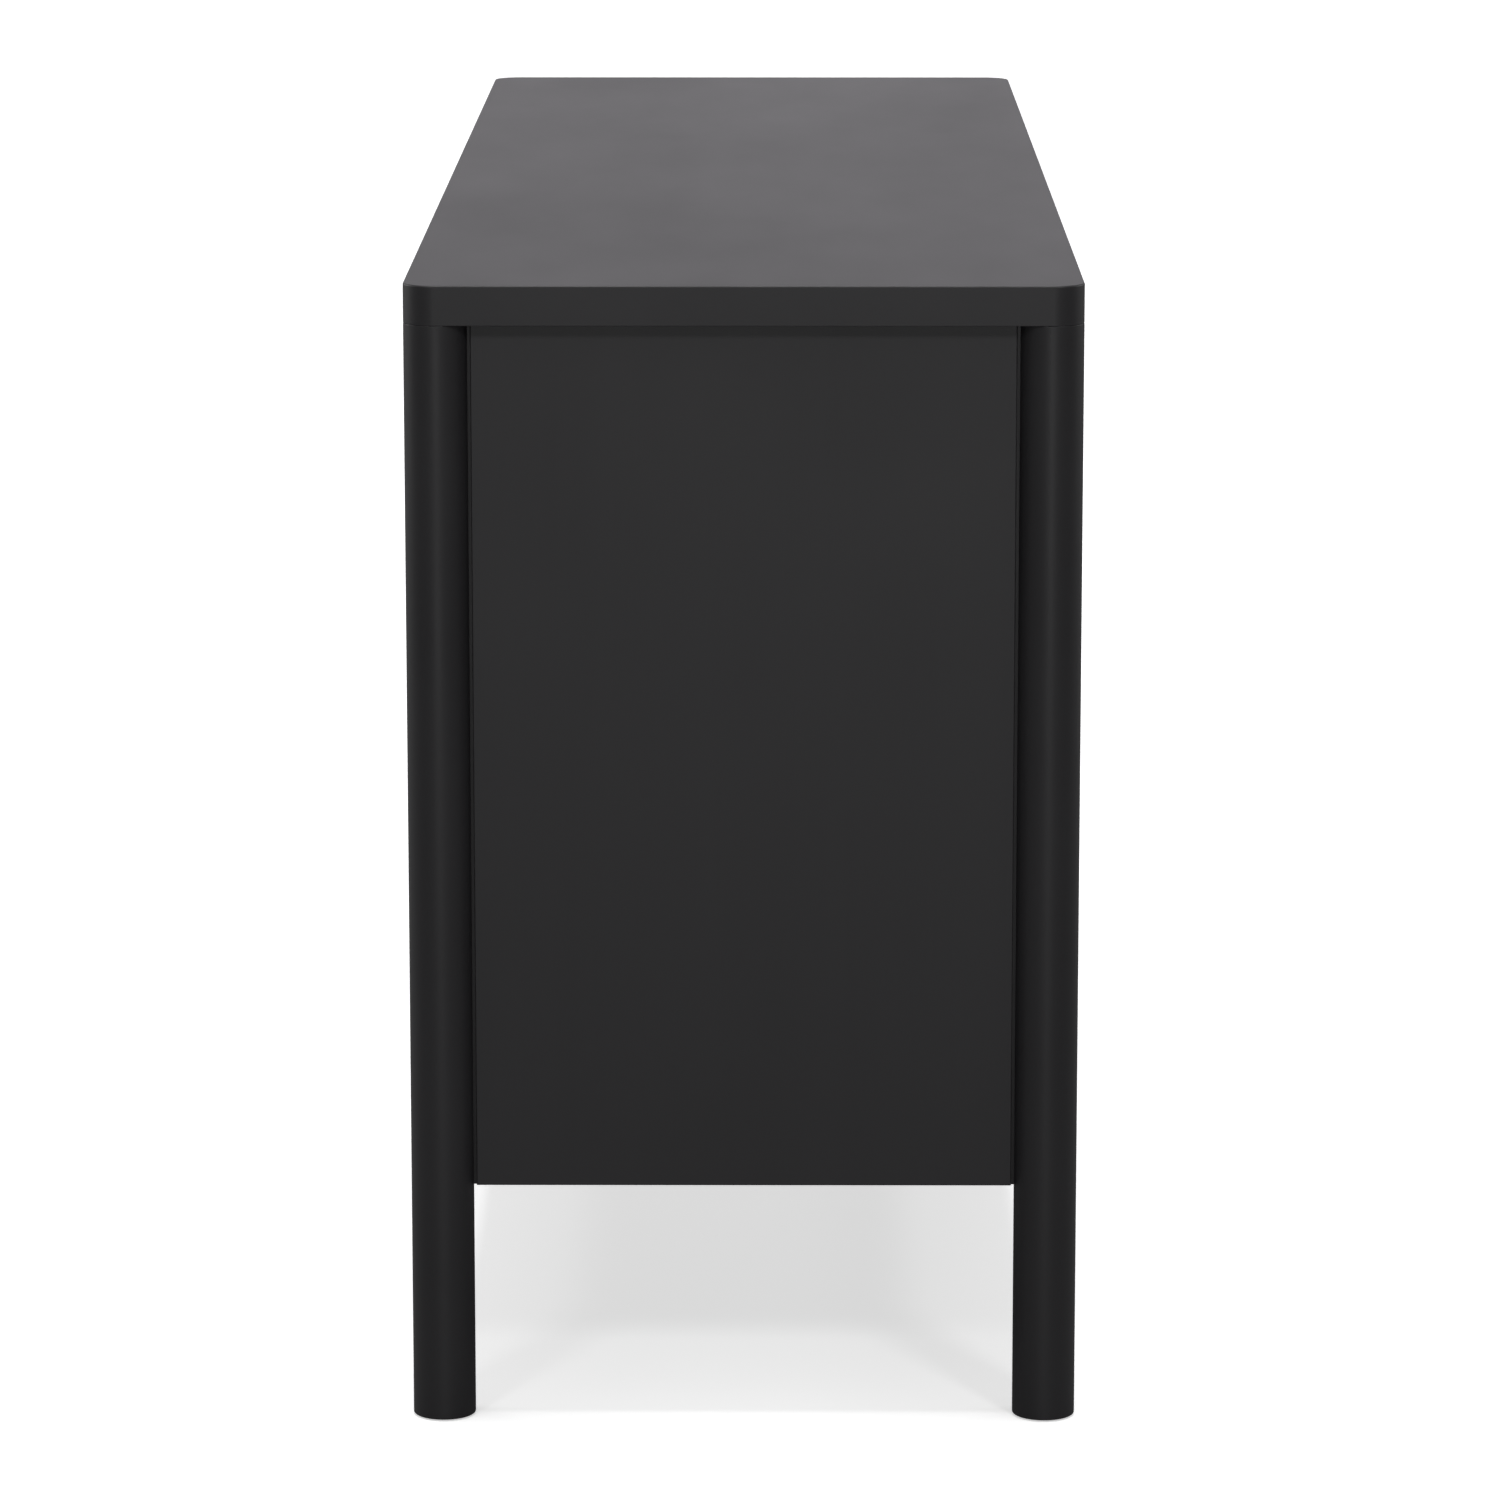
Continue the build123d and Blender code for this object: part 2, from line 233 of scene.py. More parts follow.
def satin_lacquer(name, grain):
    """Dark lacquer over wood whose grain runs along x, y or z."""
    material, tree, shader, place = new_material(name)
    along = stretch(tree, place, ALONG[grain])
    wood = use_group(tree, figure_group, {"Vector": along, "Bands": 16.0})
    skin = use_group(tree, skin_group, {"Vector": place})
    wear_and_highlight = use_group(tree, wear_and_highlight_group, {"Radius": 1.4 * MM})
    cloud = remap(tree, skin.outputs["Clouds"], 0.3, 0.7, 0.0, 1.0)
    color = mix_colors(tree, cloud, (0.0235, 0.0225, 0.0246, 1), (0.0275, 0.0265, 0.0288, 1))
    streak = remap(tree, wood.outputs["Figure"], 0.35, 0.65, 0.0, 0.35)
    color = mix_colors(tree, streak, color, (0.0210, 0.0200, 0.0222, 1))
    # Lighter edges: partly rubbed lacquer, partly painted highlight along the eased edges.
    worn_and_highlit = remap(tree, wear_and_highlight.outputs["Mask"], 0.0, 1.0, 0.0, 0.55)
    color = mix_colors(tree, worn_and_highlit, color, (0.070, 0.068, 0.071, 1))
    rough = remap(tree, skin.outputs["Clouds"], 0.3, 0.7, 0.42, 0.47)
    dimples = add_node(tree, "ShaderNodeBump", {"Height": wood.outputs["Pores"], "Strength": 0.10,
                                                "Distance": 0.1 * MM}, invert=True)
    hills = add_node(tree, "ShaderNodeBump", {"Height": skin.outputs["Peel"], "Strength": 0.10,
                                              "Distance": 0.1 * MM, "Normal": dimples.outputs["Normal"]})
    feed(tree, shader, {"Base Color": color, "Roughness": rough, "Normal": hills.outputs["Normal"]})
    return material


lacquer_along = satin_lacquer("satin_black_lacquer_along", "x")
lacquer_upright = satin_lacquer("satin_black_lacquer_upright", "z")
print("two lacquers made")

# %% [markdown]
# Inside, the chest is plain light birch under a clear coat. Birch has a quiet figure, so the
# bands stay close in colour. Where a board is cut across, as at a dovetail, the end grain
# drinks more lacquer and is darker: a face whose normal lies along the grain is an end.

# %% Clear birch and its plywood
TWO_PLIES = 2.4 * MM


def ply_stripes(tree, place, facing):
    """Dark plies on the edges of plywood, which are the faces that don't look up or down."""
    is_edge = remap(tree, size_of(tree, facing.outputs["Z"]), 0.3, 0.6, 1.0, 0.0)
    height = add_node(tree, "ShaderNodeSeparateXYZ", {"Vector": place}).outputs["Z"]
    turns = times(tree, height, 2 * math.pi / TWO_PLIES)
    layer = add_node(tree, "ShaderNodeMath", {0: turns}, operation="SINE").outputs["Value"]
    return times(tree, remap(tree, layer, -0.3, 0.3, 0.0, 0.8), is_edge)


def clear_birch(name, grain, plies=False):
    """Pale wood with darker end grain, or with stripes on its edges if it is plywood."""
    material, tree, shader, place = new_material(name)
    along = stretch(tree, place, ALONG[grain])
    wood = use_group(tree, figure_group, {"Vector": along, "Bands": 22.0, "Pore Scale": 700.0})
    wear_and_highlight = use_group(tree, wear_and_highlight_group, {"Radius": 1.0 * MM, "Patches": 60.0})
    band = remap(tree, wood.outputs["Figure"], 0.30, 0.70, 0.0, 1.0)
    color = mix_colors(tree, band, (0.66, 0.49, 0.31, 1), (0.52, 0.355, 0.205, 1))
    speck = remap(tree, wood.outputs["Pores"], 0.0, 1.0, 0.0, 0.35)
    color = mix_colors(tree, speck, color, (0.36, 0.225, 0.12, 1))
    facing = add_node(tree, "ShaderNodeSeparateXYZ",
                      {"Vector": add_node(tree, "ShaderNodeNewGeometry").outputs["Normal"]})
    if plies:
        end = ply_stripes(tree, place, facing)
    else:
        end = remap(tree, size_of(tree, facing.outputs[grain.upper()]), 0.7, 0.9, 0.0, 0.75)
    color = mix_colors(tree, end, color, (0.34, 0.205, 0.105, 1))
    # Lighter edges: partly worn clear coat, partly painted highlight.
    worn_and_highlit = remap(tree, wear_and_highlight.outputs["Mask"], 0.0, 1.0, 0.0, 0.35)
    color = mix_colors(tree, worn_and_highlit, color, (0.74, 0.58, 0.40, 1))
    rough = remap(tree, wood.outputs["Figure"], 0.3, 0.7, 0.42, 0.54)
    bump = add_node(tree, "ShaderNodeBump", {"Height": wood.outputs["Pores"], "Strength": 0.25,
                                             "Distance": 0.1 * MM}, invert=True)
    feed(tree, shader, {"Base Color": color, "Roughness": rough, "Normal": bump.outputs["Normal"]})
    return material


birch = {grain: clear_birch(f"clear_birch_{grain}", grain) for grain in "xyz"}
plywood = clear_birch("birch_plywood", "x", plies=True)
print("birch and plywood made")

# %% [markdown]
# The runners are rolled from zinc-plated strip. Zinc is a soft grey metal with drawn lines
# along the strip and cloudy patches from the plating bath. Screws are the same metal, a little
# darker and not drawn.

# %% Zinc-plated steel
def zinc_plate(name, tint, rough, drawn):
    """Plated steel, with fine lines along y if it is drawn."""
    material, tree, shader, place = new_material(name)
    strip = stretch(tree, place, ALONG["y"] if drawn else (1, 1, 1))
    lines = add_node(tree, "ShaderNodeTexNoise", {"Vector": strip, "Scale": 900.0, "Detail": 3.0})
    skin = use_group(tree, skin_group, {"Vector": place, "Peel Scale": 300.0})
    wear_and_highlight = use_group(tree, wear_and_highlight_group, {"Radius": 0.5 * MM, "Patches": 90.0})
    darker = tuple(0.72 * part for part in tint) + (1,)
    cloud = remap(tree, skin.outputs["Clouds"], 0.35, 0.65, 0.0, 1.0)
    color = mix_colors(tree, cloud, tint + (1,), darker)
    # Paler edges: partly worn plating, partly painted highlight.
    color = mix_colors(tree, wear_and_highlight.outputs["Mask"], color, (0.80, 0.80, 0.79, 1))
    streaks = remap(tree, lines.outputs["Fac"], 0.35, 0.65, rough - 0.06, rough + 0.08)
    bump = add_node(tree, "ShaderNodeBump", {"Height": lines.outputs["Fac"], "Strength": 0.05,
                                             "Distance": 0.02 * MM})
    feed(tree, shader, {"Base Color": color, "Metallic": 1.0, "Roughness": streaks,
                        "Normal": bump.outputs["Normal"]})
    return material


zinc = zinc_plate("zinc_plate", (0.60, 0.62, 0.64), 0.30, True)
screw_zinc = zinc_plate("zinc_screw", (0.46, 0.46, 0.45), 0.28, False)
print("zinc made")


# %% Fibreboard back and moulded nylon
def dull_black(name, shade, rough, grit, depth):
    """Matt black board or plastic with a fine even grit."""
    material, tree, shader, place = new_material(name)
    skin = use_group(tree, skin_group, {"Vector": place, "Peel Scale": grit})
    wear_and_highlight = use_group(tree, wear_and_highlight_group, {"Radius": 0.8 * MM})
    cloud = remap(tree, skin.outputs["Clouds"], 0.3, 0.7, 0.0, 1.0)
    paler = (shade * 1.3, shade * 1.28, shade * 1.28, 1)
    color = mix_colors(tree, cloud, (shade, shade, shade, 1), paler)
    # Lighter edges: partly wear, partly painted highlight.
    worn_and_highlit = remap(tree, wear_and_highlight.outputs["Mask"], 0.0, 1.0, 0.0, 0.5)
    color = mix_colors(tree, worn_and_highlit, color, (shade * 3, shade * 3, shade * 3, 1))
    grain = remap(tree, skin.outputs["Peel"], 0.3, 0.7, rough - 0.05, rough + 0.05)
    bump = add_node(tree, "ShaderNodeBump", {"Height": skin.outputs["Peel"], "Strength": depth,
                                             "Distance": 0.1 * MM})
    feed(tree, shader, {"Base Color": color, "Roughness": grain, "Normal": bump.outputs["Normal"]})
    return material


back_board = dull_black("black_fibreboard", 0.030, 0.62, 900.0, 0.35)
nylon = dull_black("moulded_nylon", 0.022, 0.45, 1500.0, 0.25)
print("board and nylon made")

# %% [markdown]
# ## Modelling by hand, in code
# Each new piece starts as a primitive at its place and is then shaped in edit mode, as with
# the mouse. Where a hand would click on an edge, code asks a question about each edge's two
# ends. Last, shading is smooth except at real corners, and a Weighted Normal modifier keeps
# the big flat faces flat right up to their rounded edges. An operator works on everything
# that is selected, so each step clears the selection first.

# %% Helpers for modelling
NEAR = 0.02 * MM
REAL_CORNER = math.radians(40)


def clear_selection():
    """Nothing is selected and nothing is in edit mode."""
    if bpy.context.object and bpy.context.object.mode != "OBJECT":
        bpy.ops.object.mode_set(mode="OBJECT")
    bpy.ops.object.select_all(action="DESELECT")


def select_only(piece):
    """One piece is selected and active."""
    clear_selection()
    bpy.context.view_layer.objects.active = piece
    piece.select_set(True)


def add_block(name, low, high):
    """Cube stretched between two corners, with its place in its mesh."""
    clear_selection()
    low, high = Vector(low), Vector(high)
    bpy.ops.mesh.primitive_cube_add(size=1, location=(low + high) / 2)
    block = bpy.context.object
    block.name = name
    block.scale = high - low
    bpy.ops.object.transform_apply(location=True, rotation=True, scale=True)
    return block


def pick_edges(piece, wanted):
    """Opens a piece in edit mode with only the wanted edges selected."""
    bpy.ops.object.mode_set(mode="EDIT")
    bpy.ops.mesh.select_mode(type="EDGE")
    bpy.ops.mesh.select_all(action="DESELECT")
    bpy.ops.object.mode_set(mode="OBJECT")
    count = 0
    for edge in piece.data.edges:
        start, end = (piece.data.vertices[i].co for i in edge.vertices)
        edge.select = bool(wanted(start, end))
        count += edge.select
    bpy.ops.object.mode_set(mode="EDIT")
    return count


def round_edges(piece, wanted, radius, steps):
    """Rounds the wanted edges, and gives how many there were."""
    count = pick_edges(piece, wanted)
    bpy.ops.mesh.bevel(offset=radius, offset_type="OFFSET", segments=steps, profile=0.5,
                       affect="EDGES")
    bpy.ops.object.mode_set(mode="OBJECT")
    return count


def level_at(*heights):
    """Question for pick_edges: does the edge lie flat at one of these heights?"""
    return lambda a, b: abs(a.z - b.z) < NEAR and any(abs(a.z - z) < NEAR for z in heights)


def cut_away(piece, cutter):
    """Cuts one piece with another and throws the cutter away."""
    select_only(piece)
    boolean = piece.modifiers.new("cut", "BOOLEAN")
    boolean.operation = "DIFFERENCE"
    boolean.solver = "EXACT"
    boolean.object = cutter
    bpy.ops.object.modifier_apply(modifier=boolean.name)
    bpy.data.objects.remove(cutter, do_unlink=True)


def finish_piece(piece, material, body, slot, *replaced):
    """Smooths, paints and rides a finished piece, and hides the nodes that it stands for."""
    select_only(piece)
    bpy.ops.object.shade_smooth_by_angle(angle=REAL_CORNER)
    weighted = piece.modifiers.new("flat_faces", "WEIGHTED_NORMAL")
    weighted.keep_sharp = True
    bpy.ops.object.modifier_apply(modifier=weighted.name)
    piece.data.materials.clear()
    piece.data.materials.append(material)
    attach(piece, body)
    if replaced:
        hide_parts(*replaced)
    return piece


def copy_piece(piece, name, shift):
    """Copy with its own mesh, moved by a vector inside its mesh."""
    twin = piece.copy()
    twin.data = piece.data.copy()
    twin.name = name
    twin.data.transform(Matrix.Translation(shift))
    bpy.context.scene.collection.objects.link(twin)
    return twin


print("modelling helpers ready")

# %% [markdown]
# ## The slab
# The top is one thick board. Its corners follow the round posts below, and its long edges are
# only just eased, so the light catches them as a thin line. It is a block whose four upright
# edges get the posts' radius, and whose outlines are then rounded: the upper one so that it is
# kind to a hand, the lower one by only a hair, so that the slab and the posts read as one.

# %% Model the slab
post_low, post_high = (Vector(v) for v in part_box("post_front_right"))
post_radius = (post_high.x - post_low.x) / 2
slab_low, slab_high = (Vector(v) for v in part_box("top_slab"))
EASED = 1.2 * MM
EASED_JOINT = 0.6 * MM
CORNER_STEPS = 24

slab = add_block("slab", slab_low, slab_high)
corners = round_edges(slab, lambda a, b: abs(a.z - b.z) > NEAR, post_radius, CORNER_STEPS)
outline = round_edges(slab, level_at(slab_high.z), EASED, 4)
round_edges(slab, level_at(slab_low.z), EASED_JOINT, 2)
finish_piece(slab, lacquer_along, "case", "lacquered_wood", "top_slab")
print("slab:", corners, "corners and", outline, "outline edges rounded")

# %% [markdown]
# ## The posts
# Each post is a turned pole with a small round at its foot and a hair's breadth at its head. A
# router cuts grooves along it for the tongue of the end panel and the edge of the back. Each
# groove is a hair wider than what it holds. They are cut with a Boolean, after the ends are
# rounded, because a rounded outline is easier to select while it is still a plain ring.

# %% Model the posts
POST_SIDES = 96
GROOVE_ROOM = 0.2 * MM
TONGUE_STEP = 4.0 * MM
SHADOW_GAP = 2.0 * MM


def tongue_box(side):
    """Box of the part of an end panel that reaches into the posts."""
    low, high = (Vector(v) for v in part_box(f"side_panel_{side}"))
    if SIGN[side] > 0:
        high.x -= TONGUE_STEP
    else:
        low.x += TONGUE_STEP
    return low, high


def widened(box, room):
    """Box with some room added along X and Y."""
    low, high = (Vector(v) for v in box)
    more = Vector((room, room, 0))
    return low - more, high + more


def model_post(end, side):
    """Round post with its ends eased and its grooves cut."""
    low, high = (Vector(v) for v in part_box(f"post_{end}_{side}"))
    clear_selection()
    bpy.ops.mesh.primitive_cylinder_add(vertices=POST_SIDES, radius=post_radius,
                                        depth=high.z - low.z, location=(low + high) / 2)
    post = bpy.context.object
    post.name = f"round_post_{end}_{side}"
    bpy.ops.object.transform_apply(location=True, rotation=True, scale=True)
    round_edges(post, level_at(low.z), EASED, 4)
    round_edges(post, level_at(high.z), EASED_JOINT, 2)
    cut_away(post, add_block("router", *widened(tongue_box(side), GROOVE_ROOM)))
    if end == "back":
        cut_away(post, add_block("router", *widened(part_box("back_panels"), GROOVE_ROOM)))
    node = f"post_{end}_{side}"
    return finish_piece(post, lacquer_upright, "case", "lacquered_wood", node)


posts = [model_post(end, side) for end in ("front", "back") for side in COLUMNS]
print("posts:", [len(post.data.polygons) for post in posts], "faces each")

# %% [markdown]
# ## The end panels
# An end panel is a flat board with barely broken edges. Beside each post its face stops short,
# and only a thinner tongue runs on into the groove. That step is the dark line beside each
# post: it hides any small gap, and it lets the round posts stand out. A thin block cuts it.

# %% Model the end panels
BROKEN = 0.8 * MM


def model_end_panel(side):
    """Flat board with a tongue along its upright edges, and the edges of its face eased."""
    low, high = (Vector(v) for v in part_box(f"side_panel_{side}"))
    panel = add_block(f"end_panel_{side}", low, high)
    face = high.x if SIGN[side] > 0 else low.x
    depth = sorted((face - SIGN[side] * TONGUE_STEP, face + SIGN[side] * MM))
    face_ends_at = slab_high.y - 2 * post_radius - SHADOW_GAP
    for end in (-1, 1):
        width = sorted((end * face_ends_at, end * (high.y + MM)))
        cut_away(panel, add_block("plane", (depth[0], width[0], low.z - MM),
                                  (depth[1], width[1], high.z + MM)))

    def seen(a, b):
        """Is the edge on the face, and not hidden under the slab?"""
        return max(abs(a.x - face), abs(b.x - face)) < NEAR and min(a.z, b.z) < high.z - NEAR

    round_edges(panel, seen, BROKEN, 3)
    node = f"side_panel_{side}"
    return finish_piece(panel, lacquer_upright, "case", "lacquered_wood", node)


end_panels = [model_end_panel(side) for side in COLUMNS]
print("end panels:", len(end_panels))

# %% [markdown]
# ## The drawer fronts
# There is no handle. The upper edge of each front is cut back behind at an angle, so fingers
# reach over it and pull. A plane takes that corner off in one flat cut, which here is a bevel
# of one step, and the remaining edges are then eased. All six fronts are the same board, so
# one pattern is modelled and copied to each place.

# %% Model one drawer front and copy it
PULL_CUT = 15 * MM
EASED_FRONT = 1.0 * MM

front_low, front_high = (Vector(v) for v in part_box("drawer_top_left_front"))
on_top = level_at(front_high.z)


def pull_edge(a, b):
    """Is it the upper edge at the back?"""
    return on_top(a, b) and min(a.y, b.y) > front_high.y - NEAR


def touched_edge(a, b):
    """Is it round the face, or the edge of the pull that fingers touch?"""
    on_face = max(a.y, b.y) < front_low.y + NEAR
    return on_face or on_top(a, b) and min(a.y, b.y) > front_low.y + NEAR


pattern = add_block("front_pattern", front_low, front_high)
round_edges(pattern, pull_edge, PULL_CUT, 1)
eased = round_edges(pattern, touched_edge, EASED_FRONT, 3)
for drawer in DRAWERS:
    node = f"{drawer}_front"
    shift = Vector(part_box(node)[0]) - front_low
    board = copy_piece(pattern, drawer.replace("drawer", "face"), shift)
    finish_piece(board, lacquer_along, drawer, "lacquered_wood", node)
bpy.data.objects.remove(pattern, do_unlink=True)
print("drawer fronts:", eased, "edges eased on each")

# %% [markdown]
# ## Screws with a driver recess
# Inside a drawer, four pan-head screws hold the front. A pan head is a low button, and its
# cross recess is what makes it read as a screw. The button is a short cylinder whose upper
# rim is rounded generously, and two thin blocks cut the cross.

# %% Model one screw head and copy it
HEAD_SIDES = 40
HEAD_RADIUS = 4.0 * MM
HEAD_HEIGHT = 2.6 * MM
HEAD_ROUND = 1.7 * MM
CROSS_LONG = 4.6 * MM
CROSS_WIDE = 1.0 * MM
CROSS_DEEP = 1.5 * MM


def model_pan_head():
    """Pan head at the origin that faces +Y, with a cross recess."""
    clear_selection()
    bpy.ops.mesh.primitive_cylinder_add(vertices=HEAD_SIDES, radius=HEAD_RADIUS, depth=HEAD_HEIGHT,
                                        location=(0, HEAD_HEIGHT / 2, 0),
                                        rotation=(math.radians(90), 0, 0))
    head = bpy.context.object
    head.name = "pan_head"
    bpy.ops.object.transform_apply(location=True, rotation=True, scale=True)
    round_edges(head, lambda a, b: min(a.y, b.y) > HEAD_HEIGHT - NEAR, HEAD_ROUND, 5)
    for wide, tall in ((CROSS_LONG, CROSS_WIDE), (CROSS_WIDE, CROSS_LONG)):
        low = (-wide / 2, HEAD_HEIGHT - CROSS_DEEP, -tall / 2)
        cut_away(head, add_block("driver", low, (wide / 2, HEAD_HEIGHT + MM, tall / 2)))
    return head


def join_pieces(pieces, name):
    """Several pieces made one."""
    clear_selection()
    for piece in pieces:
        piece.select_set(True)
    bpy.context.view_layer.objects.active = pieces[0]
    bpy.ops.object.join()
    pieces[0].name = name
    return pieces[0]


pan_head = model_pan_head()
for drawer in DRAWERS:
    node = f"{drawer}_front_screws"
    low, high = (Vector(v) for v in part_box(node))
    seat = high.y - HEAD_HEIGHT
    heads = [copy_piece(pan_head, "head", Vector((x, seat, z)))
             for x in (low.x + HEAD_RADIUS, high.x - HEAD_RADIUS)
             for z in (low.z + HEAD_RADIUS, high.z - HEAD_RADIUS)]
    screws = join_pieces(heads, drawer.replace("drawer", "screw_heads"))
    finish_piece(screws, screw_zinc, drawer, "screw_steel", node)
print("screw heads: 4 in each drawer,", len(pan_head.data.polygons), "faces in each")

# %% [markdown]
# ## Runner fittings
# A telescopic runner has more on it than folded strip. The inner member is held by screws in
# its channel, and a black plastic lever in the channel frees the drawer from the runner. The
# lever is a thin bar with a swollen thumb end.

# %% Model the runner screws and the release lever
INNER_MEMBER = 8.8 * MM       # width of a runner's inner member
WEB = 1.2 * MM                # thickness of its strip
RUNNER_SCREWS_AT = (0.12, 0.5, 0.88)   # along it, as shares of its length
RUNNER_SCREW_SIZE = 0.8       # beside the heads in the drawer
LEVER_AT = 0.22
LEVER_LONG = 62 * MM
LEVER_TALL = 7 * MM
LEVER_THICK = 2.2 * MM
LEVER_ARCH = 2.0 * MM
THUMB_AT, THUMB_LONG = 0.10, 0.14      # the swollen end, as shares of the lever's length


def model_lever(name, web_x, away, y_start, z_mid):
    """Release lever that lies on a runner's web and faces away from it along X."""
    span = sorted((web_x, web_x + away * LEVER_THICK))
    lever = add_block(name, (span[0], y_start, z_mid - LEVER_TALL / 2),
                      (span[1], y_start + LEVER_LONG, z_mid + LEVER_TALL / 2))
    bpy.ops.object.mode_set(mode="EDIT")
    bpy.ops.mesh.select_all(action="SELECT")
    bpy.ops.mesh.subdivide(number_cuts=6)
    bpy.ops.object.mode_set(mode="OBJECT")
    for vertex in lever.data.vertices:
        part = (vertex.co.y - y_start) / LEVER_LONG
        swell = 0.55 + 0.75 * math.exp(-((part - THUMB_AT) / THUMB_LONG) ** 2) + 0.25 * part
        arch = LEVER_ARCH * math.sin(math.pi * part)
        vertex.co.z = z_mid + (vertex.co.z - z_mid) * swell + arch
    smooth = lever.modifiers.new("round", "SUBSURF")
    smooth.levels = smooth.render_levels = 2
    bpy.ops.object.modifier_apply(modifier=smooth.name)
    return lever


def web_screw(web_x, away, y, z):
    """Copy of the pan head, a little smaller, that faces away from a web along X."""
    head = copy_piece(pan_head, "head", Vector((0, 0, 0)))
    turn = Matrix.Rotation(-away * math.radians(90), 4, "Z")
    smaller = Matrix.Scale(RUNNER_SCREW_SIZE, 4)
    head.data.transform(Matrix.Translation((web_x, y, z)) @ turn @ smaller)
    return head


for drawer in DRAWERS:
    low, high = (Vector(v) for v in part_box(f"{drawer}_runners"))
    long, z_mid = high.y - low.y, (low.z + high.z) / 2
    heads, levers = [], []
    for web_x, away in ((low.x + INNER_MEMBER - WEB, -1), (high.x - INNER_MEMBER + WEB, 1)):
        heads += [web_screw(web_x, away, low.y + part * long, z_mid) for part in RUNNER_SCREWS_AT]
        levers.append(model_lever("lever", web_x, away, low.y + LEVER_AT * long, z_mid - MM))
    screws = join_pieces(heads, drawer.replace("drawer", "runner_screws"))
    finish_piece(screws, screw_zinc, drawer, "screw_steel")
    finish_piece(join_pieces(levers, drawer.replace("drawer", "release_levers")), nylon, drawer, "nylon")
bpy.data.objects.remove(pan_head, do_unlink=True)
print("runner fittings: 6 screws and 2 levers on each drawer")

# %% [markdown]
# ## Pieces that keep their engineered shape
# Everything else is already right: the dovetailed boxes, the runners, rails, cleats, brackets
# and glides. They only need their finish, with the grain along each board.

# %% Paint the pieces that stay
def paint(name, material):
    """Gives a node that stays its finish."""
    piece = nodes[name]
    for slot in piece.material_slots:
        slot.material = material


finish = {"center_divider": lacquer_upright, "bottom_panel": lacquer_along,
          "front_rails": lacquer_along, "back_rails": birch["x"], "back_panels": back_board,
          "runner_cleats": birch["y"], "case_runners": zinc, "foot_glides": nylon,
          "post_dowels": birch["z"], "top_brackets": zinc, "bracket_screws": screw_zinc}
for drawer in DRAWERS:
    finish[f"{drawer}_box_ends"] = birch["x"]
    finish[f"{drawer}_box_sides"] = birch["y"]
    finish[f"{drawer}_box_bottom"] = plywood
    finish[f"{drawer}_runners"] = zinc
    finish[f"{drawer}_runner_middles"] = zinc
for name, material in finish.items():
    paint(name, material)
print(len(finish), "engineered nodes painted")

# %% [markdown]
# ## The studio
# The chest stands on a pale floor without an end. Black on white is hard to light: a white
# floor and a white sky throw so much light back that the black turns grey. So the floor and the
# sky are white only to the camera, and much darker to everything else, which the Light Path node
# can tell apart. The floor's glow keeps its shadows pale.

# %% Build the floor and the sky
FLOOR_SIZE = 120.0
FLOOR_GLOW = 0.52
FLOOR_SHADE = 0.95
FLOOR_BOUNCE = 0.21
WHITE = (1, 1, 1, 1)
SKY_LOW, SKY_HIGH = 0.035, 0.30
SKY_HIGH_FROM = 0.8


def grey(shade):
    """Colour with three equal parts."""
    return shade, shade, shade, 1


def camera_sees(tree, seen, otherwise):
    """One shader to the camera and another to all other light."""
    ray = add_node(tree, "ShaderNodeLightPath").outputs["Is Camera Ray"]
    values = {0: ray, 1: otherwise.outputs[0], 2: seen.outputs[0]}
    return add_node(tree, "ShaderNodeMixShader", values).outputs[0]


def paint_floor(floor):
    """Floor that looks white to the camera and is a dark grey to everything else."""
    material = bpy.data.materials.new("studio_floor")
    material.use_nodes = True
    tree = material.node_tree
    tree.nodes.clear()
    glow = add_node(tree, "ShaderNodeEmission", {"Color": WHITE, "Strength": FLOOR_GLOW})
    shaded = add_node(tree, "ShaderNodeBsdfDiffuse", {"Color": grey(FLOOR_SHADE)})
    seen = add_node(tree, "ShaderNodeAddShader", {0: glow.outputs[0], 1: shaded.outputs[0]})
    dim = add_node(tree, "ShaderNodeBsdfDiffuse", {"Color": grey(FLOOR_BOUNCE)})
    add_node(tree, "ShaderNodeOutputMaterial", {"Surface": camera_sees(tree, seen, dim)})
    floor.data.materials.append(material)


clear_selection()
bpy.ops.mesh.primitive_plane_add(size=FLOOR_SIZE, location=(0, 0, 0))
floor = bpy.context.object
floor.name = "studio_floor"
paint_floor(floor)

world = bpy.data.worlds.new("studio_air")
world.use_nodes = True
bpy.context.scene.world = world
air = world.node_tree
air.nodes.clear()
toward = add_node(air, "ShaderNodeTexCoord").outputs["Generated"]
up = add_node(air, "ShaderNodeSeparateXYZ", {"Vector": toward}).outputs["Z"]
level = remap(air, up, 0.0, SKY_HIGH_FROM, SKY_LOW, SKY_HIGH)
dim_air = add_node(air, "ShaderNodeBackground", {"Color": WHITE, "Strength": level})
white_air = add_node(air, "ShaderNodeBackground", {"Color": WHITE, "Strength": 1.0})
add_node(air, "ShaderNodeOutputWorld", {"Surface": camera_sees(air, white_air, dim_air)})
print("floor and sky built")

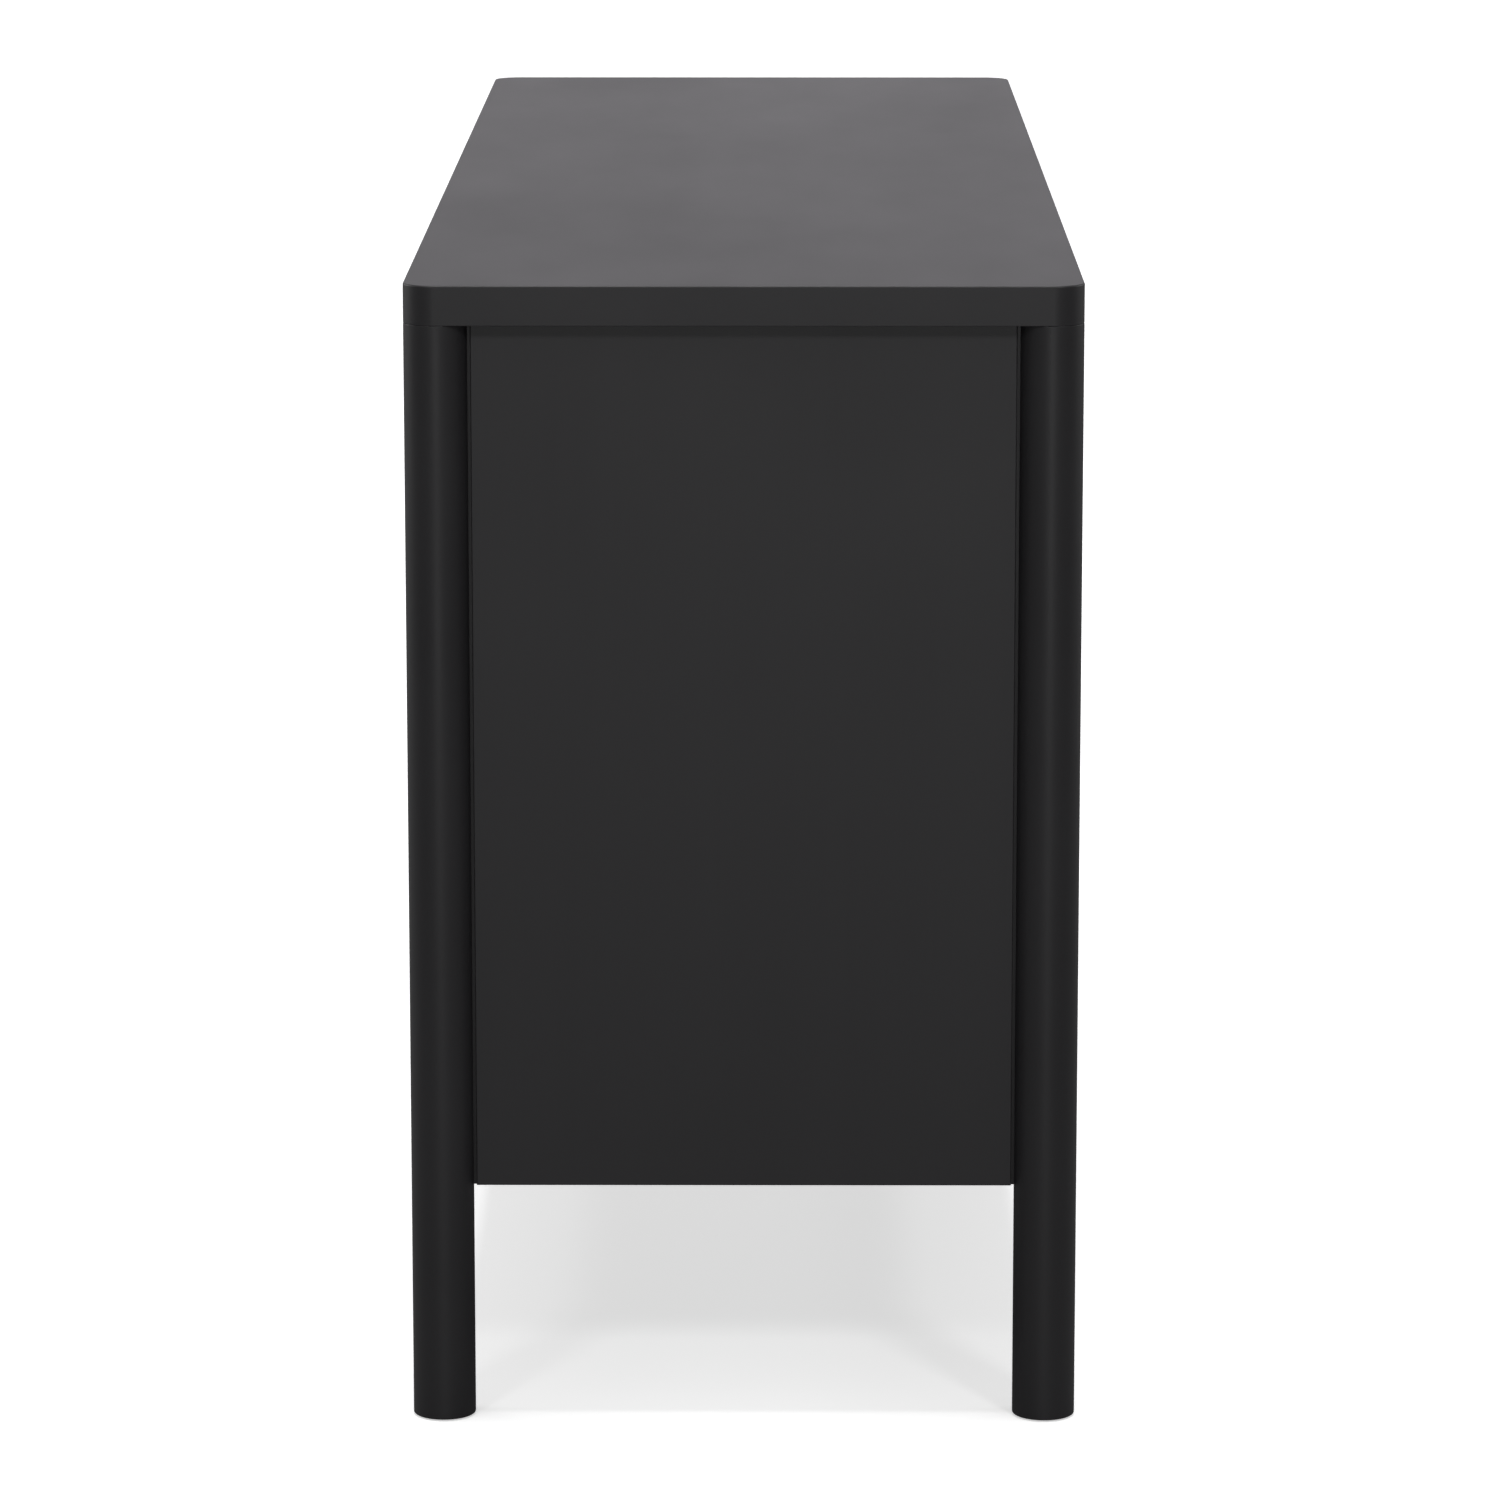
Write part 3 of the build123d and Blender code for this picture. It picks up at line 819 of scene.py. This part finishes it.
# %% [markdown]
# ## The lights
# A soft sun from straight above keeps the floor even. Two keys stand left and right of the
# camera and let the legs throw short shadows. A low fill lights the end panel from the front,
# so that no shadow of the slab falls on it. A wide softbox beyond the far end lays a sheen over
# the top, and two more light the long sides.

# %% Place the lights
SUN_STRENGTH = 1.4
SUN_ANGLE = math.radians(10)
KEY_LIFT = 36
KEY_DISTANCE = 5.0
KEY_SIZE = 0.6
KEYS = (("end_key_left", -25, 20), ("end_key_right", 27, 28))
CHEST_MIDDLE = (0, 0, 0.45)
TOP_MIDDLE = (0, 0, 0.78)


def softbox(name, place, aim, width, height, watts, color=(1, 1, 1)):
    """Rectangular soft light that faces a point."""
    data = bpy.data.lights.new(name, "AREA")
    data.color = color
    data.shape = "RECTANGLE"
    data.size = width
    data.size_y = height
    data.energy = watts
    light = bpy.data.objects.new(name, data)
    light.location = place
    light.rotation_euler = (Vector(aim) - Vector(place)).to_track_quat("-Z", "Y").to_euler()
    bpy.context.scene.collection.objects.link(light)
    return light


def round_the_end(angle, elevation, distance):
    """Place at an angle round the end panel, seen from above, and at a height angle."""
    turn, lift = math.radians(angle), math.radians(elevation)
    flat = distance * math.cos(lift)
    return slab_high.x + flat * math.cos(turn), flat * math.sin(turn), distance * math.sin(lift)


sun_data = bpy.data.lights.new("even_sun", "SUN")
sun_data.energy = SUN_STRENGTH
sun_data.angle = SUN_ANGLE
sun = bpy.data.objects.new("even_sun", sun_data)
bpy.context.scene.collection.objects.link(sun)

end_middle = (slab_high.x, 0, 0.35)
end_low = (slab_high.x, 0, 0.25)
for name, angle, watts in KEYS:
    stand = round_the_end(angle, KEY_LIFT, KEY_DISTANCE)
    softbox(name, stand, end_middle, KEY_SIZE, KEY_SIZE, watts)
softbox("end_fill", (5.6, 0.1, 0.5), end_low, 1.2, 0.8, 13.5)
softbox("sheen_light", (-4.5, 0.0, 2.0), TOP_MIDDLE, 3.0, 1.6, 12.6, (1.0, 0.96, 1.02))
softbox("front_light", (-1.2, -3.8, 1.7), CHEST_MIDDLE, 3.0, 1.4, 54)
softbox("back_light", (-1.2, 3.8, 1.7), CHEST_MIDDLE, 3.0, 1.4, 28)
bpy.context.scene.view_settings.view_transform = "Standard"
print("lights placed")
